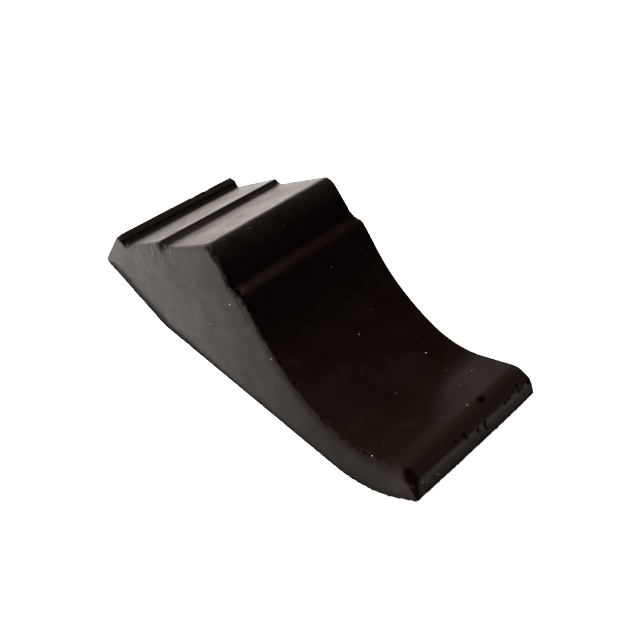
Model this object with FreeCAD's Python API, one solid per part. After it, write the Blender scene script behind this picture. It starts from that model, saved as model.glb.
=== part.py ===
import FreeCAD, Part
import math
import os

# Solid rubber wheel chock: a moulded wedge with a stepped back and a concave face for the tyre.
# Frame: +X from the thick heel to the thin toe, +Y across the width, +Z up.
# The origin is under the middle of the chock's box, on the ground that its flat sole rests on.
# All sizes are in millimetres.

WIDTH = 90.0                # across the sole
LENGTH = 258.0              # heel to toe
DRAFT_DEG = 1.5             # mould draft, so both sides lean in towards the top
EDGE_RADIUS = 1.0           # along the top and sole edges of both sides
FACING_THICKNESS = 6.5      # facing bonded over the concave seat
FACING_END_HEIGHT = 30.5    # height at which the facing ends on the front of the toe

# Stepped back, as (x from the heel, z, corner radius).
HEEL_CORNER = (-1.8, 18.3, 3.0)
HEEL_BAR_BACK = (19.7, 47.6, 2.2)
HEEL_BAR_FRONT = (26.3, 47.3, 1.4)
HEEL_BAR_FOOT = (28.6, 44.5, 1.5)
RIDGE_TOP = (67.9, 68.7, 1.6)
RIDGE_FOOT = (72.2, 66.7, 7.0)
CROWN = (115.3, 91.9, 7.0)

# Concave seat, from the foot of the face under the crown down to the toe.
LEDGE_INNER = (131.8, 73.9, 2.4)
LEDGE_LIP = (139.8, 73.6, 3.0)
SEAT_UPPER = (165.7, 40.1, 92.0)
SEAT_LOWER = (209.3, 24.0, 47.0)
TOE_CREST = (246.8, 38.3, 8.0)
TOE_BROW = (254.5, 34.6, 3.0)

# Sole: a flat middle that lifts to the heel and curls up to the toe.
TOE_CORNER = (258.2, 24.2, 1.2)
TOE_CURL = (227.0, 0.0, 71.0)
HEEL_BEVEL = (57.8, 0.0, 30.0)

CENTRE_X = LENGTH / 2.0
REACH = 40.0                # how far the cutting solids run past the chock


def at(point):
    """A profile point on the chock's middle plane, moved into the part's frame."""
    return FreeCAD.Vector(point[0] - CENTRE_X, 0.0, point[1])


def rounded_corner(before, corner, after, radius):
    """The arc that rounds one corner, as its first, middle and last points."""
    to_before = (before - corner).normalize()
    to_after = (after - corner).normalize()
    half_angle = to_before.getAngle(to_after) / 2.0
    tangent = radius / math.tan(half_angle)
    bisector = (to_before + to_after).normalize()
    centre = corner + bisector * (radius / math.sin(half_angle))
    return (
        corner + to_before * tangent,
        centre - bisector * radius,
        corner + to_after * tangent,
    )


def rounded_outline(corners):
    """A closed face in the XZ plane with every corner rounded to its own radius."""
    points = [at(corner) for corner in corners]
    count = len(points)
    arcs = []
    for index, corner in enumerate(corners):
        before = points[index - 1]
        after = points[(index + 1) % count]
        arcs.append(rounded_corner(before, points[index], after, corner[2]))
    edges = []
    for index, (first, middle, last) in enumerate(arcs):
        edges.append(Part.Arc(first, middle, last).toShape())
        next_first = arcs[(index + 1) % count][0]
        edges.append(Part.LineSegment(last, next_first).toShape())
    return Part.Face(Part.Wire(edges))


def across_width(face, half_width):
    """The face swept straight across the chock, the same distance to both sides."""
    solid = face.extrude(FreeCAD.Vector(0.0, 2.0 * half_width, 0.0))
    solid.translate(FreeCAD.Vector(0.0, -half_width, 0.0))
    return solid


def drafted_block():
    """The space between the two leaning sides, longer and higher than the chock."""
    top = CROWN[1] + REACH
    lean = math.tan(math.radians(DRAFT_DEG))
    low = WIDTH / 2.0
    high = low - top * lean
    start = -CENTRE_X - REACH
    section = Part.makePolygon([
        FreeCAD.Vector(start, -low, 0.0),
        FreeCAD.Vector(start, low, 0.0),
        FreeCAD.Vector(start, high, top),
        FreeCAD.Vector(start, -high, top),
        FreeCAD.Vector(start, -low, 0.0),
    ])
    return Part.Face(section).extrude(FreeCAD.Vector(LENGTH + 2.0 * REACH, 0.0, 0.0))


def on_one_side(edge):
    """True for an edge that lies in one of the two leaning sides."""
    lean = math.tan(math.radians(DRAFT_DEG))
    for vertex in edge.Vertexes:
        side = WIDTH / 2.0 - vertex.Z * lean
        if abs(abs(vertex.Y) - side) > 0.01:
            return False
    return edge.Vertexes[0].Y * edge.Vertexes[-1].Y > 0.0


def whole_chock():
    """Body and facing as one shape, with softened edges along both sides."""
    outline = rounded_outline([
        HEEL_CORNER, HEEL_BAR_BACK, HEEL_BAR_FRONT, HEEL_BAR_FOOT, RIDGE_TOP, RIDGE_FOOT, CROWN,
        LEDGE_INNER, LEDGE_LIP, SEAT_UPPER, SEAT_LOWER, TOE_CREST, TOE_BROW,
        TOE_CORNER, TOE_CURL, HEEL_BEVEL,
    ])
    straight = across_width(outline, WIDTH)
    chock = straight.common(drafted_block())
    side_edges = [edge for edge in chock.Edges if on_one_side(edge)]
    return chock.makeFillet(EDGE_RADIUS, side_edges)


def parallel_line(start, end, distance):
    """A point and direction of the line that runs beside start-end, towards the sole."""
    along = (at(end) - at(start)).normalize()
    inward = FreeCAD.Vector(along.z, 0.0, -along.x)
    if inward.z > 0.0:
        inward = inward * -1.0
    return at(start) + inward * distance, along


def crossing(line_a, line_b):
    """Where two lines of the XZ plane cross."""
    point_a, along_a = line_a
    point_b, along_b = line_b
    gap = point_b - point_a
    turn = along_a.x * along_b.z - along_a.z * along_b.x
    step = (gap.x * along_b.z - gap.z * along_b.x) / turn
    return point_a + along_a * step


def seat_space():
    """Everything above the bonding surface, which runs parallel to the concave seat."""
    upper = parallel_line(LEDGE_LIP, SEAT_UPPER, FACING_THICKNESS)
    middle = parallel_line(SEAT_UPPER, SEAT_LOWER, FACING_THICKNESS)
    lower = parallel_line(SEAT_LOWER, TOE_CREST, FACING_THICKNESS)
    level = (at((0.0, FACING_END_HEIGHT)), FreeCAD.Vector(1.0, 0.0, 0.0))
    ledge = (at(LEDGE_INNER), (at(LEDGE_LIP) - at(LEDGE_INNER)).normalize())
    top_end = crossing(ledge, upper)
    upper_bend = crossing(upper, middle)
    lower_bend = crossing(middle, lower)
    nose_bend = crossing(lower, level)
    upper_arc = rounded_corner(top_end, upper_bend, lower_bend, SEAT_UPPER[2] + FACING_THICKNESS)
    lower_arc = rounded_corner(upper_bend, lower_bend, nose_bend, SEAT_LOWER[2] + FACING_THICKNESS)
    front_low = at((LENGTH + REACH, FACING_END_HEIGHT))
    front_high = at((LENGTH + REACH, CROWN[1] + REACH))
    back_high = FreeCAD.Vector(top_end.x, 0.0, front_high.z)
    edges = [
        Part.LineSegment(top_end, upper_arc[0]).toShape(),
        Part.Arc(*upper_arc).toShape(),
        Part.LineSegment(upper_arc[2], lower_arc[0]).toShape(),
        Part.Arc(*lower_arc).toShape(),
        Part.LineSegment(lower_arc[2], nose_bend).toShape(),
        Part.LineSegment(nose_bend, front_low).toShape(),
        Part.LineSegment(front_low, front_high).toShape(),
        Part.LineSegment(front_high, back_high).toShape(),
        Part.LineSegment(back_high, top_end).toShape(),
    ]
    return across_width(Part.Face(Part.Wire(edges)), WIDTH)


def export(name, shape):
    """Write one sub-part as one clean solid."""
    solid = shape.Solids[0]
    solid.exportStep(os.path.join("parts", name + ".step"))
    box = solid.BoundBox
    print(name, len(shape.Solids), "solid,", round(solid.Volume), "mm3, valid", solid.isValid())
    print("  x", round(box.XMin, 2), round(box.XMax, 2), " y", round(box.YMin, 2),
          round(box.YMax, 2), " z", round(box.ZMin, 2), round(box.ZMax, 2))


os.makedirs("parts", exist_ok=True)
chock = whole_chock()
seat = seat_space()
export("rubber_body", chock.cut(seat))
export("seat_facing", chock.common(seat))
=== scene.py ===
import math

import bpy
import numpy as np
from mathutils import Matrix, Vector, geometry, noise


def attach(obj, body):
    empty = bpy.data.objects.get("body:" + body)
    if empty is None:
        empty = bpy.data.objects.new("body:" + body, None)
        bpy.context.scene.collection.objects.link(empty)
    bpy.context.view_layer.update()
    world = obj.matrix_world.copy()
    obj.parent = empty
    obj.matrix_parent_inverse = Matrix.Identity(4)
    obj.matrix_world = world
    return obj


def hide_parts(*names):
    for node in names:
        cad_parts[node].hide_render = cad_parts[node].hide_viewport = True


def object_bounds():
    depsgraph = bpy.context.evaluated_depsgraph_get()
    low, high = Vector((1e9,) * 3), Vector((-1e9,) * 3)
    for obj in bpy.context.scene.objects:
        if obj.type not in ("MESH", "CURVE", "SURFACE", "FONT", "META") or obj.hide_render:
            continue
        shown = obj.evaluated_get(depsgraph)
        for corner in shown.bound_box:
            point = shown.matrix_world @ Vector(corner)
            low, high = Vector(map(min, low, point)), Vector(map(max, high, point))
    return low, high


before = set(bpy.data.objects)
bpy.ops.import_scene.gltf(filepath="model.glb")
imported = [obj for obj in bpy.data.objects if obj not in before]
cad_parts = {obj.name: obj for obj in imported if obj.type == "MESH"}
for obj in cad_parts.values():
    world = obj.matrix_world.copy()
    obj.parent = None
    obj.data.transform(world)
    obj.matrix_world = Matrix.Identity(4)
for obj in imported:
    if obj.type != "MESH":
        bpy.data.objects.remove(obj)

# Solid rubber wheel chock: a moulded block and the facing bonded over its tyre seat.
# The frame is the part's own: +X towards the toe, +Y across the width, +Z up, in metres.

cad_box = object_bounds()
cad_low, cad_high = Vector(cad_box[0]), Vector(cad_box[1])
MM = 0.001
FLOOR_GAP = 0.03 * MM                   # the sole's high spots stay just clear of the floor
LENGTH = 258.0 * MM
HALF_WIDTH = cad_high.y
LEAN = math.tan(math.radians(1.5))      # both sides lean in towards the top
FACING = 6.5 * MM                       # thickness of the facing under the seat
FACING_END = 30.5 * MM                  # where the facing stops on the front of the toe

# The side outline, heel to toe over the top and back along the sole:
# name, x from the heel, z, corner radius, softening of the side edge there, all in millimetres.
OUTLINE = [
    ("heel", -1.8, 18.3, 3.0, 0.7),
    ("bar_back", 19.7, 47.6, 2.2, 1.6),
    ("bar_front", 26.3, 47.3, 1.4, 1.6),
    ("bar_foot", 28.6, 44.5, 1.5, 2.2),
    ("ridge_top", 67.9, 68.7, 1.6, 2.0),
    ("ridge_foot", 72.2, 66.7, 7.0, 2.2),
    ("crown", 115.3, 91.9, 7.0, 2.2),
    ("ledge_inner", 131.8, 73.9, 2.4, 1.0),
    ("ledge_lip", 139.8, 73.6, 3.0, 1.0),
    ("seat_upper", 165.7, 40.1, 92.0, 1.0),
    ("seat_lower", 209.3, 24.0, 47.0, 1.2),
    ("toe_crest", 246.8, 38.3, 8.0, 1.4),
    ("toe_brow", 254.5, 34.6, 3.0, 1.2),
    ("toe_corner", 258.2, 24.2, 1.2, 1.0),
    ("toe_curl", 227.0, 0.0, 71.0, 0.5),
    ("heel_bevel", 57.8, 0.0, 30.0, 0.5),
]
NAMES = [row[0] for row in OUTLINE]
STEP = 0.7 * MM                         # spacing of the mesh along the outline
ROWS = 140                              # rows of the mesh across the width
CAP_STEP = 1.1 * MM                     # spacing of the mesh on the two sides
INSET = 3.0 * MM                        # how far in the outline's inner twin lies
SMALLEST_RADIUS = 0.25 * MM             # what stays of a corner's radius on the inner twin
EDGE_TURN = [math.radians(a) for a in (0, 18, 36, 54, 72, 90)]
FAR_SOFTENING = 0.45                    # how soft the far side's edges are beside the near side's
FAR_TEARS = 0.12                        # how torn the far side's edges are beside the near side's
FLASH_ROW = 2                           # which row of a rounded edge carries the mould flash
FLASH_HEIGHT = 1.1 * MM                 # how far the mould flash sticks out along the sole's edges
TOE_FLASH = 0.9 * MM                    # how far it sticks out along the toe's lower edge
HEEL_FLASH = 0.35 * MM                  # how far it sticks out along the heel's lower edge
TOE_RISE = 2.3 * MM                     # how much higher the toe's lower edge ends at the far side
TOE_RISE_REACH = 9.0 * MM               # how far from that edge the rise is felt
SKIN_DEPTH = 0.12 * MM                  # the skin lies this far inside, to leave room for its relief
WAVE_HEIGHT = 0.20 * MM                 # slow waves of the moulded skin
LUMP_HEIGHT = 0.03 * MM                 # fine lumps of the moulded skin
TEAR_REACH = 2.4 * MM                   # how far from a torn edge the tears go
TEAR_SHADE_DEPTH = 0.45 * MM            # a tear this deep gets the full painted shade
SOLE_BAND = 2.6 * MM                    # breadth of the painted shade along the edges of the sole
SEAM_CRISP = 0.12 * MM                  # what stays of an edge's softening where the seam crosses it
SEAM_BLEND = 0.5                        # how fast that softening comes back beside the seam
RIM_PULL, ROW_PULL = 8, 12              # how close to its ends the seam starts bending to the skin


# ---------------------------------------------------------------- outline

def corner_point(index):
    """One corner of the outline in the frame, in metres."""
    row = OUTLINE[index % len(OUTLINE)]
    return np.array([row[1] * MM - LENGTH / 2, row[2] * MM])


def inset_corners(amount):
    """The outline's corners and radii after every straight moves in by the same amount."""
    points, radii = [], []
    for i, row in enumerate(OUTLINE):
        before, here, after = corner_point(i - 1), corner_point(i), corner_point(i + 1)
        u = (here - before) / np.linalg.norm(here - before)
        v = (after - here) / np.linalg.norm(after - here)
        turn = u[0] * v[1] - u[1] * v[0]
        in_u, in_v = np.array([u[1], -u[0]]), np.array([v[1], -v[0]])
        mitre = (in_u + in_v) / (1.0 + in_u @ in_v)
        points.append(here + mitre * amount)
        radius = row[3] * MM + (amount if turn > 0 else -amount)
        radii.append(max(radius, SMALLEST_RADIUS))
    return points, radii


def rounding(before, here, after, radius):
    """The arc that rounds one corner: its centre, first angle, sweep, start and end."""
    u = (before - here) / np.linalg.norm(before - here)
    v = (after - here) / np.linalg.norm(after - here)
    half = math.acos(np.clip(u @ v, -1, 1)) / 2
    centre = here + (u + v) / np.linalg.norm(u + v) * radius / math.sin(half)
    start = here + u * radius / math.tan(half)
    end = here + v * radius / math.tan(half)
    first = math.atan2(*(start - centre)[::-1])
    last = math.atan2(*(end - centre)[::-1])
    sweep = (last - first + math.pi) % (2 * math.pi) - math.pi
    return centre, first, sweep, start, end


def trace(amount, counts=None):
    """Points round the outline. The counts per corner and straight keep the traces in step."""
    points, radii = inset_corners(amount)
    total = len(points)
    arcs = [rounding(points[i - 1], points[i], points[(i + 1) % total], radii[i]) for i in range(total)]
    starts = [start for _, _, _, start, _ in arcs]
    if counts is None:
        counts = []
        for i, (_, _, sweep, _, end) in enumerate(arcs):
            gap = np.linalg.norm(starts[(i + 1) % total] - end)
            counts.append((max(5, round(abs(sweep) * radii[i] / STEP)), max(2, round(gap / STEP))))
    out, place = [], []
    for i, (centre, first, sweep, _, end) in enumerate(arcs):
        on_arc, on_line = counts[i]
        for k in range(on_arc):
            angle = first + sweep * k / on_arc
            out.append(centre + radii[i] * np.array([math.cos(angle), math.sin(angle)]))
            place.append(i + 0.5 * k / on_arc)
        following = starts[(i + 1) % total]
        for k in range(on_line):
            out.append(end + (following - end) * k / on_line)
            place.append(i + 0.5 + 0.5 * k / on_line)
    return np.array(out), np.array(place), counts


outer, place, counts = trace(0.0)
inner, _, _ = trace(INSET, counts)
inward = (inner - outer) / INSET
tangent = np.roll(outer, -1, 0) - np.roll(outer, 1, 0)
outward = np.c_[-tangent[:, 1], tangent[:, 0]] / np.linalg.norm(tangent, axis=1)[:, None]


def spot(name, along=0.25):
    """A place on the outline: 0.25 is the middle of that corner's arc, 0.5 to 1 its straight."""
    return NAMES.index(name) + along


def between(values, low, high, blur=0.05):
    """1 inside low..high and 0 outside, with soft ends."""
    rise = np.clip((values - low) / blur, 0, 1)
    fall = np.clip((high - values) / blur, 0, 1)
    return rise * fall


corner_soft = np.array([row[4] for row in OUTLINE] + [OUTLINE[0][4]]) * MM
softness = np.interp(place, np.arange(len(OUTLINE) + 1) + 0.25, corner_soft)


def half_width_at(z):
    """Half the width at a height, since both sides lean in."""
    return HALF_WIDTH - z * LEAN


def soft_on(side):
    """Softening of a side edge, station by station: the far side (+Y) is less worn."""
    return softness * (1.0 if side < 0 else FAR_SOFTENING)


# ---------------------------------------------------------------- seam between block and facing

def offset_line(a, b, amount):
    """A point and direction of the line beside a-b, moved towards the sole."""
    along = (b - a) / np.linalg.norm(b - a)
    return a + np.array([along[1], -along[0]]) * amount, along


def crossing(one, other):
    """Where two such lines meet."""
    (p, u), (q, v) = one, other
    gap = q - p
    step = (gap[0] * v[1] - gap[1] * v[0]) / (u[0] * v[1] - u[1] * v[0])
    return p + u * step


def bend(before, here, after, radius, steps):
    """Points along the arc that rounds one corner of the seam."""
    centre, first, sweep, _, _ = rounding(before, here, after, radius)
    angles = first + sweep * np.linspace(0, 1, steps)
    return centre + radius * np.c_[np.cos(angles), np.sin(angles)]


def corner_named(name):
    return corner_point(NAMES.index(name))


def radius_named(name):
    return OUTLINE[NAMES.index(name)][3] * MM


seat_corners = [corner_named(name) for name in ("ledge_lip", "seat_upper", "seat_lower", "toe_crest")]
seam_lines = [offset_line(a, b, FACING) for a, b in zip(seat_corners, seat_corners[1:])]
level_line = (np.array([0.0, FACING_END]), np.array([1.0, 0.0]))
seam_bends = [crossing(seam_lines[0], seam_lines[1]), crossing(seam_lines[1], seam_lines[2])]
seam_nose = crossing(seam_lines[2], level_line)

# The seam comes out in the corner behind the ledge and on the front of the toe.
top_station = int(np.argmin(abs(place - spot("ledge_inner"))))
seam_top = outer[top_station].copy()
front = (place > spot("toe_brow")) & (place < spot("toe_corner"))
end_station = int(np.argmin(np.where(front, abs(outer[:, 1] - FACING_END), 1.0)))
seam_end = outer[end_station].copy()
seam_end[0] += (FACING_END - seam_end[1]) * tangent[end_station][0] / tangent[end_station][1]
seam_end[1] = FACING_END
outer[end_station] = seam_end

seam_parts = [
    bend(seam_top, seam_bends[0], seam_bends[1], radius_named("seat_upper") + FACING, steps=12),
    bend(seam_bends[0], seam_bends[1], seam_nose, radius_named("seat_lower") + FACING, steps=10),
    seam_nose[None, :],
]
seam_path = [seam_top]
for part in seam_parts + [seam_end[None, :]]:
    for point in part:
        gap = point - seam_path[-1]
        pieces = max(1, round(np.linalg.norm(gap) / (2 * STEP)))
        seam_path += [seam_path[-1] + gap * (k + 1) / pieces for k in range(pieces)]
seam_path = np.array(seam_path)

# The side edges stay crisp where the seam crosses them, so block and facing meet flush.
length_along = np.r_[0, np.cumsum(np.linalg.norm(np.diff(outer, axis=0), axis=1))]
for station in (top_station, end_station):
    softness = np.minimum(softness, SEAM_BLEND * abs(length_along - length_along[station]) + SEAM_CRISP)


# ---------------------------------------------------------------- relief of the moulded rubber

def value_noise(points, scale, seed, octaves):
    """Smooth noise about 0, of roughly -1 to 1, at each point."""
    shift = Vector((seed * 7.31, seed * 3.17, seed * 5.71))
    return np.array([noise.fractal(Vector(p) * scale + shift, 1.0, 2.0, octaves) for p in points])


# Dents: x from the heel, share of the half width, z, then size along X, Y and Z and depth, in mm.
BAR_NICKS = [(19.6, -0.97, 47.0, 1.2, 1.3, 1.5, 0.7), (19.8, 0.30, 47.4, 1.4, 1.2, 1.4, 0.7),
             (19.8, 0.55, 47.4, 1.4, 1.6, 1.3, 0.7), (22.6, 0.44, 47.5, 1.2, 1.0, 1.0, 0.5)]
TOE_PITS = [(247.1, 0.330, 37.6, 1.5, 2.2, 1.3, 1.6), (253.6, -0.151, 35.0, 1.1, 1.3, 1.0, 1.5),
            (254.8, -0.155, 33.9, 1.0, 0.8, 1.3, 1.5), (255.5, 0.035, 32.3, 0.8, 0.9, 1.4, 1.2),
            (255.3, 0.160, 33.0, 0.8, 0.8, 1.3, 1.5), (255.9, 0.150, 31.4, 0.8, 0.7, 1.3, 1.5),
            (253.2, 0.797, 35.2, 0.9, 0.9, 0.9, 1.1), (254.9, 0.768, 33.6, 0.9, 0.9, 0.9, 1.1),
            (255.1, 0.831, 33.3, 0.8, 0.8, 0.8, 0.7), (254.8, 0.521, 33.9, 0.8, 0.8, 1.2, 1.0),
            (254.7, 0.587, 34.0, 0.8, 0.8, 0.9, 0.9), (255.0, 0.955, 33.4, 1.2, 1.4, 1.3, 1.5),
            (253.2, -0.298, 35.2, 0.9, 1.0, 0.9, 0.6), (256.9, 0.182, 29.2, 0.8, 0.9, 0.9, 0.8)]
# The hollows where the riser and the heel bar run out at the sides, as dents at both ends,
# darkened mostly by painted shade.
RISER_ENDS = [(70.2, 1.0, 66.4, 3.8, 3.2, 2.9, 0.5), (27.6, 1.0, 45.8, 3.2, 2.2, 1.8, 0.6)]
RISER_ENDS += [(x, -share, *rest) for x, share, *rest in RISER_ENDS]
# The fold at the near corner of the toe, darkened by painted shade a little wider than the fold:
# x from the heel, share of the half width, z, half breadth and depth, in mm.
TOE_FOLD = [(250.6, -0.970, 36.9, 2.3, 0.8), (252.2, -0.985, 35.6, 3.2, 1.1),
            (253.5, -1.000, 33.6, 3.0, 1.1), (254.8, -1.000, 31.0, 2.4, 0.9),
            (256.3, -1.000, 28.6, 1.8, 0.6), (257.6, -1.000, 26.6, 1.1, 0.3)]


def dents(points, rows):
    """How deep the dents press each point in."""
    depth = np.zeros(len(points))
    for x, share, z, size_x, size_y, size_z, deep in rows:
        y = share * half_width_at(z * MM)
        gap = points - np.array([x * MM - LENGTH / 2, y, z * MM])
        gap /= np.array([size_x, size_y, size_z]) * MM
        depth = np.maximum(depth, deep * MM * np.exp(-(gap ** 2).sum(1) ** 1.5))
    return depth


def fold(points):
    """How deep the toe's fold presses each point in, and the painted shade at that point."""
    depth, shade = np.zeros(len(points)), np.zeros(len(points))
    places = []
    for x, share, z, breadth, deep in TOE_FOLD:
        centre = np.array([x * MM - LENGTH / 2, share * half_width_at(z * MM), z * MM])
        places.append((centre, breadth * MM, deep * MM))
    for (a, breadth_a, deep_a), (b, breadth_b, deep_b) in zip(places, places[1:]):
        along = np.clip((points - a) @ (b - a) / ((b - a) @ (b - a)), 0, 1)
        gap = np.linalg.norm(points - a - along[:, None] * (b - a), axis=1)
        breadth = breadth_a + (breadth_b - breadth_a) * along
        deep = deep_a + (deep_b - deep_a) * along
        depth = np.maximum(depth, deep * np.exp(-(gap / breadth) ** 3))
        shade = np.maximum(shade, 1.5 * np.exp(-(gap / (1.15 * breadth)) ** 4))
    return depth, shade


def toe_rise(points):
    """How far the toe's lower edge rises towards its far corner, where the moulding is short."""
    corner = corner_named("toe_corner")
    share = np.clip(points[:, 1] / (2 * HALF_WIDTH) + 0.5, 0, 1)
    gap = np.hypot(points[:, 0] - corner[0], points[:, 2] - corner[1])
    return TOE_RISE * share ** 4 * np.exp(-(gap / TOE_RISE_REACH) ** 2)


def relief(points, normals):
    """The skin with its waves, lumps, dents and fold, and the painted shade at each point."""
    waves = WAVE_HEIGHT * value_noise(points, scale=22.0, seed=1, octaves=2)
    lumps = LUMP_HEIGHT * value_noise(points, scale=140.0, seed=2, octaves=2)
    pits = dents(points, BAR_NICKS + RISER_ENDS + TOE_PITS)
    folded, shade = fold(points)
    moved = points + normals * (waves + lumps - SKIN_DEPTH - np.maximum(pits, folded))[:, None]
    moved[:, 2] += toe_rise(points)
    # Painted shade: each dent darkens in step with its depth, and the fold by its own shade.
    return moved, np.maximum(1.5 * pits / MM, shade)


def torn(points, gap, amount):
    """How far the torn side edges stick out or lie back, from each point's distance to the edge."""
    near = np.exp(-(gap / TEAR_REACH) ** 2) * amount
    some = near > 0.02
    push = np.zeros(len(points))
    if some.any():
        coarse = value_noise(points[some], scale=420.0, seed=6, octaves=2)
        fine = value_noise(points[some], scale=1100.0, seed=8, octaves=1)
        push[some] = near[some] * MM * (2.2 * coarse + 1.1 * fine - 0.6)
    return push


def tear_shade(push):
    """Painted shade in the torn-out places, darker the deeper they lie."""
    return np.clip(-push / TEAR_SHADE_DEPTH, 0, 1)


def ragged(at, speed, seed):
    """A torn line's height along its length, from 0 to about 1, with odd longer tags."""
    slow = np.array([noise.noise(Vector((a * speed * 0.13, seed, 0.0))) for a in at])
    fast = np.array([noise.noise(Vector((a * speed, seed + 5.0, 0.0))) for a in at])
    tags = np.array([noise.noise(Vector((a * speed * 0.45, seed + 9.0, 0.0))) for a in at])
    return np.clip(0.32 + 0.3 * slow + 0.45 * fast, 0, 1) + 1.6 * np.clip(tags - 0.33, 0, 1)


# Per station: where the sole's edges run, how far up the sides the painted shade above them
# reaches, and how dark it is. The band is narrower and paler under the toe than along the heel.
PAST_END = len(OUTLINE) + 1
at_heel = place < spot("heel", 0.3)
sole_edge = between(place, spot("toe_corner", 0.1), PAST_END, 0.3)
sole_edge = np.clip(sole_edge + between(place, -1, spot("heel", 0.3), 0.2), 0, 1)
sole_reach = 1.0 + 3.0 * between(place, spot("toe_curl", 0.8), PAST_END, 0.4)
sole_reach = np.where(at_heel, 4.0, sole_reach) * MM
sole_shade = sole_edge * (1.0 - 0.45 * between(place, 0, spot("toe_curl", 0.8), 0.4))
sole_shade = np.where(at_heel, sole_edge, sole_shade)

# How torn the near edge is: most round the ledge, less at the crown, and a little along the seat.
torn_corner = between(place, spot("crown", -0.02), spot("crown", 0.62), 0.2)
torn_ledge = between(place, spot("crown", 0.75), spot("ledge_lip", 0.72), 0.25)
torn_seat = between(place, spot("ledge_lip", 0.3), spot("toe_crest"), 0.3)
torn_edge = np.maximum(0.6 * torn_corner, torn_ledge) + 0.15 * torn_seat

# Lines across the width: flash along the toe and the heel, and shade under the toe and on the bar.
toe_line = np.exp(-((place - spot("toe_corner")) / 0.09) ** 2)
heel_line = np.exp(-((place - spot("heel")) / 0.12) ** 2)
toe_shade = 0.95 * np.exp(-((place - spot("toe_corner", 0.06)) / 0.13) ** 2)
bar_shade = 0.72 * between(place, spot("bar_back", 0.2), spot("bar_front", 0.8), 0.25)


def flash_height(side):
    """Height of the torn flash along one side's sole edge, station by station."""
    return FLASH_HEIGHT * sole_edge * ragged(length_along, speed=420.0, seed=3.0 if side < 0 else 11.0)


# ---------------------------------------------------------------- meshes

def mantle_row(side, turn, share):
    """One row of stations and their normals: on a rounded edge, or at a share of the way across."""
    half = half_width_at(outer[:, 1])
    soft = soft_on(side)
    if share is None:
        y = side * (half - soft * (1 - math.cos(turn)))
    else:
        near, far = -(half - soft_on(-1)), half - soft_on(1)
        y = near + (far - near) * share
    xz = outer + inward * (soft * (1 - math.sin(turn)))[:, None]
    points = np.c_[xz[:, 0], y, xz[:, 1]]
    across, around = math.cos(turn) * side, math.sin(turn)
    normals = np.c_[outward[:, 0] * around, np.full(len(xz), across), outward[:, 1] * around]
    return points, normals


def all_rows():
    """Every row, near side to far: points, normals, which side's flash it carries, and its wear."""
    rows = []
    for k, turn in enumerate(EDGE_TURN):
        rows.append((*mantle_row(-1, turn, None), -1 if k == FLASH_ROW else 0, math.sin(2 * turn)))
    for k in range(1, ROWS):
        rows.append((*mantle_row(0, math.pi / 2, k / ROWS), 0, 0.0))
    for k, turn in reversed(list(enumerate(EDGE_TURN))):
        rows.append((*mantle_row(1, turn, None), 1 if k == FLASH_ROW else 0, math.sin(2 * turn)))
    return rows


def outside_surface():
    """The detailed outer skin as rows of stations, with its edge wear and its painted shade."""
    skin, wear, painted_shade_and_dark_marks = [], [], []
    for points, normals, flash_side, edge in all_rows():
        half = half_width_at(points[:, 2])
        gap = half - abs(points[:, 1])
        moved, shade = relief(points, normals)
        push = torn(points, gap, torn_edge) * np.where(points[:, 1] < 0, 1.0, FAR_TEARS)
        moved = moved + normals * push[:, None]
        if flash_side:
            sideways = np.full(len(points), 0.5 * flash_side)
            fin = np.c_[0.85 * outward[:, 0], sideways, 0.85 * outward[:, 1]]
            moved = moved + fin * flash_height(flash_side)[:, None]
        if edge == 0.0:
            line = TOE_FLASH * toe_line * (ragged(points[:, 1], speed=700.0, seed=21.0) - 0.2)
            line += HEEL_FLASH * heel_line * ragged(points[:, 1], speed=600.0, seed=25.0)
            moved = moved + normals * line[:, None]
        # Painted shade: a band along the sole's edges, under the toe and on the heel bar.
        under = sole_shade * np.exp(-(gap / SOLE_BAND) ** 2) + toe_shade + bar_shade
        skin.append(moved)
        wear.append(np.full(len(points), edge))
        painted_shade_and_dark_marks.append(np.clip(shade + under + tear_shade(push), 0, 1))
    return np.array(skin), np.array(wear), np.array(painted_shade_and_dark_marks)


def keep_in_box(points):
    """The skin never leaves the CAD model's box."""
    return np.clip(points, np.array(cad_low) + (0.0, 0.0, FLOOR_GAP), np.array(cad_high))


def seam_rows(skin):
    """The bonding surface, row by row, joined exactly to the skin at both of its ends."""
    along = np.linspace(0, 1, len(seam_path))[:, None]
    rims = []
    for row, side in ((skin[0], -1.0), (skin[-1], 1.0)):
        flat = np.c_[seam_path[:, 0], side * half_width_at(seam_path[:, 1]), seam_path[:, 1]]
        rim, _ = relief(flat, np.tile([0.0, side, 0.0], (len(flat), 1)))
        rim += (row[top_station] - rim[0]) * (1 - along) ** RIM_PULL
        rim += (row[end_station] - rim[-1]) * along ** RIM_PULL
        rims.append(rim)
    rows = []
    for row, share in zip(skin, np.linspace(0, 1, len(skin))):
        top, end = row[top_station], row[end_station]
        path = rims[0] + (rims[1] - rims[0]) * share
        path += (top - path[0]) * (1 - along) ** ROW_PULL
        path += (end - path[-1]) * along ** ROW_PULL
        rows.append(path)
    rows[0], rows[-1] = rims
    return np.array(rows)


def inside(polygon, points):
    """Which points lie inside a closed polygon."""
    a, b = polygon, np.roll(polygon, -1, 0)
    hit = np.zeros(len(points), bool)
    for (ax, az), (bx, bz) in zip(a, b):
        cross = (az > points[:, 1]) != (bz > points[:, 1])
        if cross.any():
            x = ax + (points[:, 1] - az) * (bx - ax) / (bz - az if bz != az else 1e-12)
            hit ^= cross & (points[:, 0] < x)
    return hit


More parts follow.
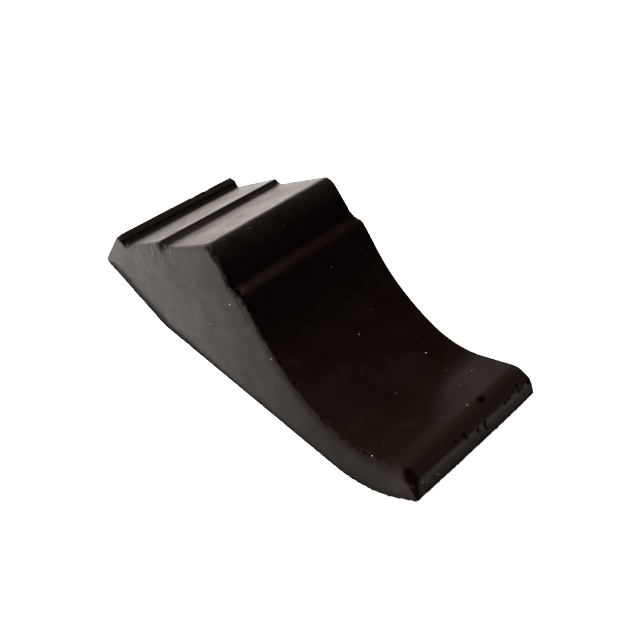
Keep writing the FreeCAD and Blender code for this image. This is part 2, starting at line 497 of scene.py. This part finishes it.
def fill_points(loop):
    """A staggered grid of points inside a side face's outline, clear of its rim."""
    low, high = loop.min(0), loop.max(0)
    grid = []
    rise = CAP_STEP * math.sqrt(3) / 2
    for j in range(int((high[1] - low[1]) / rise) + 1):
        for i in range(int((high[0] - low[0]) / CAP_STEP) + 2):
            grid.append((low[0] + (i + 0.5 * (j % 2)) * CAP_STEP, low[1] + j * rise))
    grid = np.array(grid)
    grid = grid[inside(loop, grid)]
    clear = np.ones(len(grid), bool)
    for start in range(0, len(grid), 500):
        chunk = grid[start:start + 500]
        gap = np.linalg.norm(chunk[:, None] - loop[None], axis=2).min(1)
        clear[start:start + 500] = gap > 0.7 * CAP_STEP
    return grid[clear]


def side_points(loop, side):
    """The detailed points that fill one side face, and the painted shade at each."""
    extra = fill_points(loop)
    points = np.c_[extra[:, 0], side * half_width_at(extra[:, 1]), extra[:, 1]]
    moved, shade = relief(points, np.tile([0.0, side, 0.0], (len(extra), 1)))
    near = np.array([np.linalg.norm(outer - p, axis=1).argmin() for p in extra])
    soft = soft_on(side)[near]
    gap = np.maximum(np.linalg.norm(outer[near] - extra, axis=1), soft)
    push = torn(points, gap, torn_edge[near]) * (1.0 if side < 0 else FAR_TEARS)
    moved[:, 1] += side * push
    # Painted shade: a band up the side from the sole's edges, with a ragged inner edge, and a faint
    # wider fade.
    start = sole_reach[near] * (1.0 + 0.4 * value_noise(points, scale=330.0, seed=12, octaves=2))
    fade = np.maximum(gap - soft - start, 0.0) / (sole_reach[near] + 0.8 * MM)
    under = sole_shade[near] * (0.72 * np.exp(-fade ** 1.3) + 0.1 * np.exp(-gap / (9.0 * MM)))
    return extra, keep_in_box(moved), np.clip(shade + under + tear_shade(push), 0, 1)


def mark_seam_sharp(mesh, row_count, count, skin_count):
    """Makes every edge round the bonding surface sharp, so the two pieces shade flush."""
    pairs = []
    for row in (0, row_count - 1):
        around = [row * count + i % count for i in range(skin_count - 1, count + 1)]
        pairs += list(zip(around, around[1:]))
    for column in (0, skin_count - 1):
        pairs += [(row * count + column, (row + 1) * count + column) for row in range(row_count - 1)]
    ends = np.empty(2 * len(mesh.edges), np.int32)
    mesh.edges.foreach_get("vertices", ends)
    keys = np.sort(ends.reshape(-1, 2), axis=1) @ [len(mesh.vertices), 1]
    wanted = np.sort(np.array(pairs), axis=1) @ [len(mesh.vertices), 1]
    sharp = np.zeros(len(mesh.edges), bool)
    marks = mesh.attributes["sharp_edge"].data
    marks.foreach_get("value", sharp)
    marks.foreach_set("value", sharp | np.isin(keys, wanted))


def build(name, rows, wear, painted_shade_and_dark_marks, skin_count, material, slot_name):
    """One closed piece from its rows and two filled sides."""
    count = rows.shape[1]
    verts = rows.reshape(-1, 3).tolist()
    rubbed, dark = list(wear.reshape(-1)), list(painted_shade_and_dark_marks.reshape(-1))
    faces = []
    for r in range(len(rows) - 1):
        for i in range(count):
            j = (i + 1) % count
            a, b = r * count, (r + 1) * count
            faces.append((a + i, a + j, b + j, b + i))
    for first, side in ((0, -1.0), ((len(rows) - 1) * count, 1.0)):
        loop = rows[0 if side < 0 else -1][:, [0, 2]]
        extra, points, shade = side_points(loop, side)
        flat = [Vector(p) for p in loop] + [Vector(p) for p in extra]
        edges = [(i, (i + 1) % count) for i in range(count)]
        result = geometry.delaunay_2d_cdt(flat, edges, [], 1, 1e-7)
        base = len(verts)
        verts += points.tolist()
        rubbed += [0.0] * len(extra)
        dark += shade.tolist()
        index = [first + i for i in range(count)] + [base + i for i in range(len(extra))]
        source = [index[orig[0]] for orig in result[3]]
        for face in result[2]:
            tri = tuple(source[v] for v in face)
            faces.append(tri if side < 0 else tri[::-1])
    mesh = bpy.data.meshes.new(name)
    mesh.from_pydata(verts, [], faces)
    mesh.update()
    for label, values in (("edge_wear", rubbed), ("painted_shade_and_dark_marks", dark)):
        attribute = mesh.attributes.new(label, "FLOAT", "POINT")
        attribute.data.foreach_set("value", np.array(values, np.float32))
    piece = bpy.data.objects.new(name, mesh)
    bpy.context.scene.collection.objects.link(piece)
    mesh.polygons.foreach_set("use_smooth", [True] * len(mesh.polygons))
    mesh.set_sharp_from_angle(angle=math.radians(55))
    mark_seam_sharp(mesh, len(rows), count, skin_count)
    mesh.materials.append(material)
    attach(piece, "root")
    return piece


# ---------------------------------------------------------------- materials

class Nodes:
    """Small helper that adds and links shader nodes."""

    def __init__(self, name):
        self.material = bpy.data.materials.new(name)
        self.material.use_nodes = True
        self.tree = self.material.node_tree
        self.shader = self.tree.nodes["Principled BSDF"]
        self.place = self.add("ShaderNodeTexCoord").outputs["Object"]

    def add(self, kind, **settings):
        node = self.tree.nodes.new(kind)
        for key, value in settings.items():
            setattr(node, key, value)
        return node

    def link(self, source, target):
        """Feeds a socket from another one, or sets it to a plain value."""
        if isinstance(source, bpy.types.NodeSocket):
            self.tree.links.new(source, target)
        else:
            target.default_value = source

    def noise(self, scale, detail, roughness, stretch=(1, 1, 1), turn=(0, 0, 0), distortion=0.0):
        mapping = self.add("ShaderNodeMapping")
        mapping.inputs["Scale"].default_value = stretch
        mapping.inputs["Rotation"].default_value = turn
        self.link(self.place, mapping.inputs["Vector"])
        node = self.add("ShaderNodeTexNoise")
        self.link(mapping.outputs["Vector"], node.inputs["Vector"])
        node.inputs["Scale"].default_value = scale
        node.inputs["Detail"].default_value = detail
        node.inputs["Roughness"].default_value = roughness
        node.inputs["Distortion"].default_value = distortion
        return node.outputs["Fac"]

    def remap(self, value, low, high, to_low=0.0, to_high=1.0, smooth=True):
        """Takes low..high to to_low..to_high, and holds the end values outside."""
        node = self.add("ShaderNodeMapRange", interpolation_type="SMOOTHSTEP" if smooth else "LINEAR")
        for socket, number in zip(node.inputs[1:5], (low, high, to_low, to_high)):
            socket.default_value = number
        self.link(value, node.inputs["Value"])
        return node.outputs["Result"]

    def math(self, operation, a, b=0.0):
        node = self.add("ShaderNodeMath", operation=operation)
        self.link(a, node.inputs[0])
        self.link(b, node.inputs[1])
        return node.outputs[0]

    def mix(self, factor, a, b):
        node = self.add("ShaderNodeMix", data_type="RGBA")
        self.link(factor, node.inputs["Factor"])
        self.link(a, node.inputs["A"])
        self.link(b, node.inputs["B"])
        return node.outputs["Result"]

    def times(self, first, *others):
        """The product of several sockets or values."""
        for other in others:
            first = self.math("MULTIPLY", first, other)
        return first

    def specks(self, cells, radius, share, seed):
        """Round specks, one in some cells of a grid: share is how many cells have none."""
        mapping = self.add("ShaderNodeMapping")
        mapping.inputs["Location"].default_value = (seed, seed * 0.7, seed * 0.3)
        self.link(self.place, mapping.inputs["Vector"])
        node = self.add("ShaderNodeTexVoronoi", feature="F1")
        self.link(mapping.outputs["Vector"], node.inputs["Vector"])
        node.inputs["Scale"].default_value = cells
        split = self.add("ShaderNodeSeparateColor")
        self.link(node.outputs["Color"], split.inputs["Color"])
        kept = self.remap(split.outputs["Red"], share, share + 0.01)
        smallest = 0.4 * radius * cells
        size = self.remap(split.outputs["Green"], 0.0, 1.0, smallest, radius * cells, smooth=False)
        return self.times(kept, self.math("LESS_THAN", node.outputs["Distance"], size))

    def stroke(self, path):
        """A tapering scratch along a path: x from the heel, z and half breadth, in mm, at each place."""
        mask = 0.0
        for (x, z, breadth), (next_x, next_z, next_breadth) in zip(path, path[1:]):
            start = Vector((x * MM - LENGTH / 2, 0.0, z * MM))
            run = Vector(((next_x - x) * MM, 0.0, (next_z - z) * MM))
            flat = self.add("ShaderNodeVectorMath", operation="MULTIPLY_ADD")
            self.link(self.place, flat.inputs[0])
            flat.inputs[1].default_value = (1.0, 0.0, 1.0)
            flat.inputs[2].default_value = -start
            along = self.add("ShaderNodeVectorMath", operation="DOT_PRODUCT")
            self.link(flat.outputs["Vector"], along.inputs[0])
            along.inputs[1].default_value = run / run.length_squared
            share = self.remap(along.outputs["Value"], 0.0, 1.0, smooth=False)
            nearest = self.add("ShaderNodeVectorMath", operation="SCALE")
            nearest.inputs["Vector"].default_value = run
            self.link(share, nearest.inputs["Scale"])
            gap = self.add("ShaderNodeVectorMath", operation="DISTANCE")
            self.link(flat.outputs["Vector"], gap.inputs[0])
            self.link(nearest.outputs["Vector"], gap.inputs[1])
            width = self.remap(share, 0.0, 1.0, breadth * MM, next_breadth * MM, smooth=False)
            ratio = self.math("DIVIDE", gap.outputs["Value"], width)
            mask = self.math("MAXIMUM", mask, self.remap(ratio, 1.0, 0.3))
        return mask

    def attribute(self, label):
        node = self.add("ShaderNodeAttribute", attribute_name=label, attribute_type="GEOMETRY")
        return node.outputs["Fac"]

    def bump(self, height, strength, distance, normal=None):
        node = self.add("ShaderNodeBump")
        node.inputs["Strength"].default_value = strength
        node.inputs["Distance"].default_value = distance
        self.link(height, node.inputs["Height"])
        if normal is not None:
            self.link(normal, node.inputs["Normal"])
        return node.outputs["Normal"]


def rgba(r, g, b):
    return (r, g, b, 1.0)


# Scratches below the heel bar and the riser: x from the heel, z and half breadth, in mm.
BRIGHT_SCRATCHES = [[(41.4, 52.4, 0.5), (43.0, 48.5, 0.45), (44.5, 43.6, 0.2)],
                    [(53.2, 54.9, 0.45), (55.2, 50.1, 0.4), (56.8, 43.8, 0.25)],
                    [(63.4, 65.8, 0.5), (63.2, 61.0, 0.25)],
                    [(68.7, 62.0, 0.3), (71.2, 57.2, 0.3)],
                    [(76.2, 56.0, 0.35), (79.6, 49.2, 0.25)]]
DARK_SCRATCHES = [[(40.6, 51.6, 0.5), (42.1, 48.0, 0.4), (43.4, 44.4, 0.2)],
                  [(54.2, 54.4, 0.45), (55.9, 50.4, 0.2)],
                  [(69.0, 64.0, 0.7), (70.6, 60.6, 0.45), (73.9, 57.3, 0.45), (76.0, 53.6, 0.5),
                   (79.0, 49.0, 0.3)],
                  [(46.0, 54.9, 0.9), (46.9, 54.0, 0.5)]]

# How the rubber's looks change along X: from one x to another in metres, then, where the levels
# aren't 0 and 1, from one level to another.
TOE_PALING = (0.104, 0.120, 0.0, 0.95)          # the toe's front turns paler
# The ledge: spared from the painted shade below the crown, and brightened by painted sheen.
LEDGE_START, LEDGE_STOP = (0.0020, 0.0055), (0.0150, 0.0075)
CROWN_SHADE_START, CROWN_SHADE_STOP = (-0.011, -0.003), (0.040, 0.012)
CROWN_SHADE_DEPTH = 0.85                            # how dark the painted shade is just below the crown
BLOCK_GLOSS_AND_SHEEN = (-0.012, -0.002, 0.98, 0.32)    # the block's gloss off the sides, with painted sheen: high on the back, low from the crown on
FACING_GLOSS_AND_SHEEN = (0.008, 0.055, 0.28, 1.35)     # the facing's gloss off the sides, with painted sheen rising towards the seat's foot
SIDE_GLOSS_AND_SHEEN = (-0.13, 0.060, 1.0, 0.14)        # the gloss of both sides, with painted sheen fading from heel to toe
RIDGE_SHEEN = (-0.066, -0.050, 1.0, 0.79)     # a factor of painted sheen off the sides, lower past the ridge
SEAT_SHEEN = (0.055, 0.085, 1.0, 0.42)        # a factor of painted sheen off the sides, lower from the seat's foot on
FRONT_SHEEN = (0.1244, 0.1262, 1.0, 1.75)     # a factor of painted sheen, higher on the front of the toe
LEDGE_SHEEN = 0.85                            # what the ledge's painted sheen adds
SIDE_START, SIDE_STOP = 1.4 * MM, 0.7 * MM    # inside the side planes, where a side's looks fade in

# Fine streaks on the sides near the back's slope, from the heel bar to just past the ridge.
STREAK_STRETCH, STREAK_TURN = (620.0, 40.0, 62.0), (0, math.radians(23.5), 0)
STREAK_START, STREAK_STOP = (-0.104, -0.094), (-0.042, -0.056)
BACK_SLOPE, STREAK_HEIGHT = 0.42, (0.074, 0.086)

SHADE_AND_PINHOLE_BLACK = rgba(0.0012, 0.0004, 0.0003)
CROWN_SHADE_BLACK = rgba(0.0010, 0.0002, 0.0001)
SCRATCH_BLACK = rgba(0.001, 0.001, 0.001)
SCRATCH_GREY = rgba(0.10, 0.092, 0.085)
SPECK_WHITE = rgba(0.55, 0.52, 0.48)


def scratch_masks(n, x, z, on_side):
    """Where the sides are scratched bright and where they are scratched dark."""
    streak = n.noise(1.0, 2.0, 0.5, stretch=STREAK_STRETCH, turn=STREAK_TURN)
    zone = n.times(on_side, n.remap(x, *STREAK_START), n.remap(x, *STREAK_STOP))
    below = n.math("SUBTRACT", z, n.math("MULTIPLY", x, BACK_SLOPE))
    zone = n.times(zone, n.remap(below, *STREAK_HEIGHT))
    bright = n.times(n.remap(streak, 0.63, 0.68), zone, 0.55)
    dark = n.times(n.remap(streak, 0.38, 0.33), zone)
    for path in BRIGHT_SCRATCHES:
        bright = n.math("MAXIMUM", bright, n.times(n.stroke(path), on_side))
    for path in DARK_SCRATCHES:
        dark = n.math("MAXIMUM", dark, n.times(n.stroke(path), on_side))
    return bright, dark


def gloss_and_sheen_level(n, x, gloss_and_sheen, on_side, ledge, painted_shade_and_dark_marks):
    """How glossy the rubber is from place to place; its changes along X and on the ledge are painted
    sheen, and it is lower in the painted shade and on dark marks.
    """
    above = n.math("ADD", n.remap(x, *gloss_and_sheen, smooth=False), n.times(ledge, LEDGE_SHEEN))
    above = n.times(above, n.remap(x, *RIDGE_SHEEN), n.remap(x, *SEAT_SHEEN))
    beside = n.remap(x, *SIDE_GLOSS_AND_SHEEN, smooth=False)
    level = n.math("ADD", above, n.times(on_side, n.math("SUBTRACT", beside, above)))
    open_share = n.math("POWER", n.math("SUBTRACT", 1.0, painted_shade_and_dark_marks), 1.6)
    return n.times(level, n.remap(x, *FRONT_SHEEN), open_share, 0.5)


def rubber(name, deep, faded, dust, roughness, ior, gloss_and_sheen, scratched):
    """Moulded black rubber: mottled colour, fine grain, dust specks, rubbed edges and scratches,
    with painted shade in the colour and painted sheen in the gloss.
    """
    n = Nodes(name)
    split = n.add("ShaderNodeSeparateXYZ")
    n.link(n.place, split.inputs["Vector"])
    x, y, z = split.outputs
    reach = n.math("ADD", n.math("ABSOLUTE", y), n.times(z, LEAN))
    on_side = n.remap(reach, HALF_WIDTH - SIDE_START, HALF_WIDTH - SIDE_STOP)
    ledge = n.times(n.remap(x, *LEDGE_START), n.remap(x, *LEDGE_STOP))

    mottle = n.remap(n.noise(24.0, 4.0, 0.6), 0.3, 0.7)
    cloud = n.remap(n.noise(95.0, 5.0, 0.65, distortion=0.6), 0.42, 0.75)
    colour = n.mix(mottle, rgba(*deep), rgba(*faded))
    colour = n.mix(n.times(cloud, 0.35), colour, rgba(*dust))
    colour = n.mix(n.remap(x, *TOE_PALING), colour, rgba(*dust))
    wear = n.times(n.attribute("edge_wear"), n.remap(n.noise(420.0, 4.0, 0.7), 0.45, 0.7))
    colour = n.mix(n.times(wear, 0.5), colour, rgba(*dust))

    # The painted shade from the meshes darkens the colour; pinholes and dark scratches add to it below.
    painted_shade_and_dark_marks = n.attribute("painted_shade_and_dark_marks")
    colour = n.mix(n.times(painted_shade_and_dark_marks, 0.85), colour, SHADE_AND_PINHOLE_BLACK)
    pinholes = n.specks(cells=430.0, radius=0.26 * MM, share=0.955, seed=5.3)
    colour = n.mix(n.times(pinholes, 0.8), colour, SHADE_AND_PINHOLE_BLACK)
    painted_shade_and_dark_marks = n.math("MAXIMUM", painted_shade_and_dark_marks, n.times(pinholes, 0.5))

    large_specks = n.specks(cells=330.0, radius=0.40 * MM, share=0.970, seed=3.1)
    fine_specks = n.specks(cells=600.0, radius=0.22 * MM, share=0.97, seed=8.7)
    white = n.math("MAXIMUM", large_specks, n.times(fine_specks, 0.45))
    white = n.times(white, n.math("LESS_THAN", painted_shade_and_dark_marks, 0.3))
    colour = n.mix(white, colour, SPECK_WHITE)

    # Painted shade from just past the crown over the upper seat, sparing the sides and the ledge.
    crown_shade = n.times(n.remap(x, *CROWN_SHADE_START), n.remap(x, *CROWN_SHADE_STOP))
    spared = n.math("MAXIMUM", on_side, ledge)
    crown_shade = n.times(crown_shade, n.math("SUBTRACT", 1.0, spared), CROWN_SHADE_DEPTH)
    colour = n.mix(crown_shade, colour, CROWN_SHADE_BLACK)

    grain, pebble = n.noise(2600.0, 3.0, 0.6), n.noise(700.0, 4.0, 0.6)
    normal = n.bump(grain, 0.25, 0.05 * MM)
    normal = n.bump(pebble, 0.25, 0.08 * MM, normal)
    if scratched:
        bright, dark = scratch_masks(n, x, z, on_side)
        colour = n.mix(n.times(bright, 0.45), colour, SCRATCH_GREY)
        colour = n.mix(n.times(dark, 0.9), colour, SCRATCH_BLACK)
        painted_shade_and_dark_marks = n.math("MAXIMUM", painted_shade_and_dark_marks, n.times(dark, 0.4))
        normal = n.bump(n.math("SUBTRACT", bright, dark), 0.8, 0.25 * MM, normal)
    normal = n.bump(white, 0.6, 0.15 * MM, normal)

    rough = n.remap(n.noise(60.0, 6.0, 0.7), 0.25, 0.75, roughness - 0.06, roughness + 0.08)
    n.link(n.math("ADD", rough, n.times(wear, 0.12)), n.shader.inputs["Roughness"])
    n.link(colour, n.shader.inputs["Base Color"])
    n.link(normal, n.shader.inputs["Normal"])
    n.shader.inputs["IOR"].default_value = ior
    level = gloss_and_sheen_level(n, x, gloss_and_sheen, on_side, ledge, painted_shade_and_dark_marks)
    n.link(level, n.shader.inputs["Specular IOR Level"])
    return n.material


body_rubber = rubber(
    "body_rubber",
    deep=(0.0034, 0.0020, 0.0014),
    faded=(0.0050, 0.0036, 0.0029),
    dust=(0.0100, 0.0072, 0.0060),
    roughness=0.42,
    ior=1.25,
    gloss_and_sheen=BLOCK_GLOSS_AND_SHEEN,
    scratched=True,
)
facing_rubber = rubber(
    "facing_rubber",
    deep=(0.0030, 0.0012, 0.0007),
    faded=(0.0042, 0.0022, 0.0014),
    dust=(0.008, 0.005, 0.004),
    roughness=0.44,
    ior=1.20,
    gloss_and_sheen=FACING_GLOSS_AND_SHEEN,
    scratched=False,
)


# ---------------------------------------------------------------- the two pieces

skin, wear, painted_shade_and_dark_marks = outside_surface()
skin = keep_in_box(skin)
seam = seam_rows(skin)
on_facing = np.arange(top_station, end_station + 1)
on_block = np.r_[np.arange(end_station, len(outer)), np.arange(0, top_station + 1)]
plain = np.zeros((len(seam), len(seam_path) - 2))


def piece_rows(stations, inside_rows):
    """Rows of one piece: its share of the skin, then the seam back to the start."""
    rows = np.concatenate([skin[:, stations], inside_rows], axis=1)
    rubbed = np.concatenate([wear[:, stations], plain], axis=1)
    return rows, rubbed, np.concatenate([painted_shade_and_dark_marks[:, stations], plain], axis=1), len(stations)


facing_rows = piece_rows(on_facing, seam[:, -2:0:-1])
facing = build("seat_facing_rubber", *facing_rows, facing_rubber, "facing_rubber")
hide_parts("seat_facing")
block_rows = piece_rows(on_block, seam[:, 1:-1])
block = build("moulded_block", *block_rows, body_rubber, "body_rubber")
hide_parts("rubber_body")


# ---------------------------------------------------------------- floor, light and camera

FLOOR_RADIUS, FLOOR_CORNERS = 1.8, 96
FLOOR_GLOW = 0.82                       # keeps the floor's shadows very pale in the view
WORLD_LIGHT, WORLD_SEEN = 0.03, 0.85    # the background as a light, and as it looks
WARM_LIGHT = (1.0, 0.90, 0.84)

# Name, place, what it points at, width, height where that differs, and power in watts.
LAMPS = [
    ("key_left", (-0.90, -0.42, 0.76), (0, 0, 0), 0.9, None, 37.0),
    ("top_front", (0.00, -0.70, 1.15), (0, 0, 0), 0.9, None, 18.0),
    ("right", (0.85, -0.75, 0.90), (0, 0, 0), 0.9, None, 7.0),
    ("low_left", (-1.00, 0.57, 0.14), (0, 0, 0.05), 0.7, 0.22, 5.0),
]

CAMERA_PLACE = Vector((0.24810, -0.20679, 0.32739))
CAMERA_FORWARD = Vector((-0.53729, 0.48657, -0.68889))
CAMERA_ROLL = math.radians(-2.45)
FOCAL_LENGTH, SENSOR_WIDTH = 43.95, 36.0


def seen_directly(tree, socket, elsewhere, seen):
    """Gives a strength one value for the view itself and another for the light it casts."""
    strength = tree.nodes.new("ShaderNodeMapRange")
    strength.inputs["To Min"].default_value = elsewhere
    strength.inputs["To Max"].default_value = seen
    light_path = tree.nodes.new("ShaderNodeLightPath")
    tree.links.new(light_path.outputs["Is Camera Ray"], strength.inputs["Value"])
    tree.links.new(strength.outputs["Result"], socket)


def floor():
    """A white round sheet that the chock stands on."""
    angles = [2 * math.pi * k / FLOOR_CORNERS for k in range(FLOOR_CORNERS)]
    rim = [(FLOOR_RADIUS * math.cos(a), FLOOR_RADIUS * math.sin(a), 0.0) for a in angles]
    mesh = bpy.data.meshes.new("floor")
    mesh.from_pydata(rim, [], [tuple(range(FLOOR_CORNERS))])
    material = bpy.data.materials.new("pale_floor")
    material.use_nodes = True
    shader = material.node_tree.nodes["Principled BSDF"]
    shader.inputs["Base Color"].default_value = rgba(0.90, 0.93, 0.94)
    shader.inputs["Roughness"].default_value = 0.9
    shader.inputs["Emission Color"].default_value = rgba(1.0, 1.0, 1.0)
    seen_directly(material.node_tree, shader.inputs["Emission Strength"], 0.0, FLOOR_GLOW)
    mesh.materials.append(material)
    plane = bpy.data.objects.new("floor", mesh)
    bpy.context.scene.collection.objects.link(plane)


def area_light(name, location, target, width, height, watts):
    """A round or elliptical soft light."""
    data = bpy.data.lights.new(name, "AREA")
    data.shape = "DISK" if height is None else "ELLIPSE"
    data.size = width
    if height is not None:
        data.size_y = height
    data.energy = watts
    data.color = WARM_LIGHT
    lamp = bpy.data.objects.new(name, data)
    bpy.context.scene.collection.objects.link(lamp)
    lamp.location = location
    ray = Vector(target) - Vector(location)
    lamp.rotation_euler = ray.to_track_quat("-Z", "Y").to_euler()


def studio():
    """A pale background that adds only a little light of its own."""
    world = bpy.data.worlds.new("studio")
    bpy.context.scene.world = world
    world.use_nodes = True
    background = world.node_tree.nodes["Background"]
    background.inputs["Color"].default_value = rgba(1.0, 0.98, 0.96)
    seen_directly(world.node_tree, background.inputs["Strength"], WORLD_LIGHT, WORLD_SEEN)


def camera():
    """The camera above the toe's near corner, looking back over the chock."""
    data = bpy.data.cameras.new("camera")
    data.lens = FOCAL_LENGTH
    data.sensor_width = SENSOR_WIDTH
    data.dof.use_dof = False
    view = bpy.data.objects.new("camera", data)
    bpy.context.scene.collection.objects.link(view)
    aim = CAMERA_FORWARD.to_track_quat("-Z", "Y").to_matrix().to_4x4()
    view.matrix_world = Matrix.Translation(CAMERA_PLACE) @ aim @ Matrix.Rotation(CAMERA_ROLL, 4, "Z")
    bpy.context.scene.camera = view


floor()
for lamp_row in LAMPS:
    area_light(*lamp_row)
studio()
camera()
bpy.context.scene.view_settings.view_transform = "Standard"
